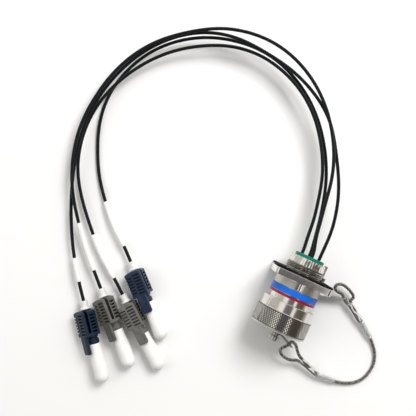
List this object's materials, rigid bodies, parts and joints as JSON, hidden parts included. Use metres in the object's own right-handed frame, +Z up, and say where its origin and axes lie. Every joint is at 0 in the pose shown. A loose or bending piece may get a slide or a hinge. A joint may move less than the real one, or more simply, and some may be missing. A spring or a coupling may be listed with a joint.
{
  "type": "fibre optic cable assembly",
  "caption": "Flanged circular receptacle with plastic fibre pigtails, latching plugs and dust caps, and a screw-on protective cap on a wire lanyard.",
  "frame": {"origin": "on the surface it stands on, under the middle of the receptacle's length from the grommet's rear face to the end of the cap's post", "axes": "+Y along the receptacle's axis towards the fibres, +Z up, +X to the right with the cap towards -Y"},
  "size_m": [0.2375, 0.2429, 0.037],
  "materials": {
    "nickel_plate": "electroless nickel plate, satin",
    "steel": "stainless, as rolled",
    "dark_steel": "blackened",
    "wire_rope": "braided wire rope in a clear coat",
    "clear_shrink": "clear heat-shrink tube",
    "blue_band": "printed band",
    "black_rubber": "matt",
    "green_rubber": "silicone, satin",
    "dark_plastic": "moulded",
    "cable_jacket": "extruded polyethylene",
    "white_sleeve": "heat-shrink marker sleeve",
    "dark_blue_plastic": "moulded",
    "grey_plastic": "moulded",
    "white_rubber": "soft, matt"
  },
  "bodies": {
    "receptacle": {"shell": "nickel_plate", "id_band": "blue_band", "panel_gasket": "black_rubber", "grommet": "green_rubber", "contact_insert": "dark_plastic", "flange_screw": "dark_steel", "spacer_nut": "steel", "rear_nut": "steel", "flange_strap": "steel", "upper_eye": "wire_rope", "upper_ferrule": "steel", "cable_1": "cable_jacket", "cable_2": "cable_jacket", "cable_3": "cable_jacket", "cable_4": "cable_jacket", "marker_sleeve_1": "white_sleeve", "marker_sleeve_2": "white_sleeve", "marker_sleeve_3": "white_sleeve", "marker_sleeve_4": "white_sleeve", "crimp_ring_1": "steel", "crimp_ring_2": "steel", "crimp_ring_3": "steel", "crimp_ring_4": "steel", "plug_1": "dark_blue_plastic", "plug_2": "grey_plastic", "plug_3": "grey_plastic", "plug_4": "dark_blue_plastic"},
    "lanyard_end": {"cap_strap": "steel", "lower_eye": "wire_rope", "lower_ferrule": "steel", "lower_shrink_sleeve": "clear_shrink", "lanyard_rope": "wire_rope", "upper_shrink_sleeve": "clear_shrink"},
    "cap": {"protective_cap": "nickel_plate", "cap_post": "nickel_plate", "inner_washer": "steel", "outer_washer": "steel"},
    "dust_cap_1": {"dust_cap_1": "white_rubber"},
    "dust_cap_2": {"dust_cap_2": "white_rubber"},
    "dust_cap_3": {"dust_cap_3": "white_rubber"},
    "dust_cap_4": {"dust_cap_4": "white_rubber"}
  },
  "joints": [
    {"name": "cap_travel", "type": "slide", "parent": "receptacle", "child": "lanyard_end", "axis": [0, -1, 0], "range_m": [0, 0.0076]},
    {"name": "cap_turn", "type": "hinge", "parent": "lanyard_end", "child": "cap", "pos_m": [0, -0.012, 0.0185], "axis": [0, -1, 0], "range_deg": [0, 360]},
    {"name": "dust_cap_1_slide", "type": "slide", "parent": "receptacle", "child": "dust_cap_1", "axis": [0.6225, -0.7826, 0], "range_m": [0, 0.009]},
    {"name": "dust_cap_2_slide", "type": "slide", "parent": "receptacle", "child": "dust_cap_2", "axis": [0.7133, -0.7009, 0], "range_m": [0, 0.009]},
    {"name": "dust_cap_3_slide", "type": "slide", "parent": "receptacle", "child": "dust_cap_3", "axis": [0.7848, -0.6198, 0], "range_m": [0, 0.009]},
    {"name": "dust_cap_4_slide", "type": "slide", "parent": "receptacle", "child": "dust_cap_4", "axis": [0.7373, -0.6756, 0], "range_m": [0, 0.009]}
  ],
  "couplings": [
    {"joint": "cap_turn", "follows": "cap_travel", "rad_per_m": 826}
  ]
}
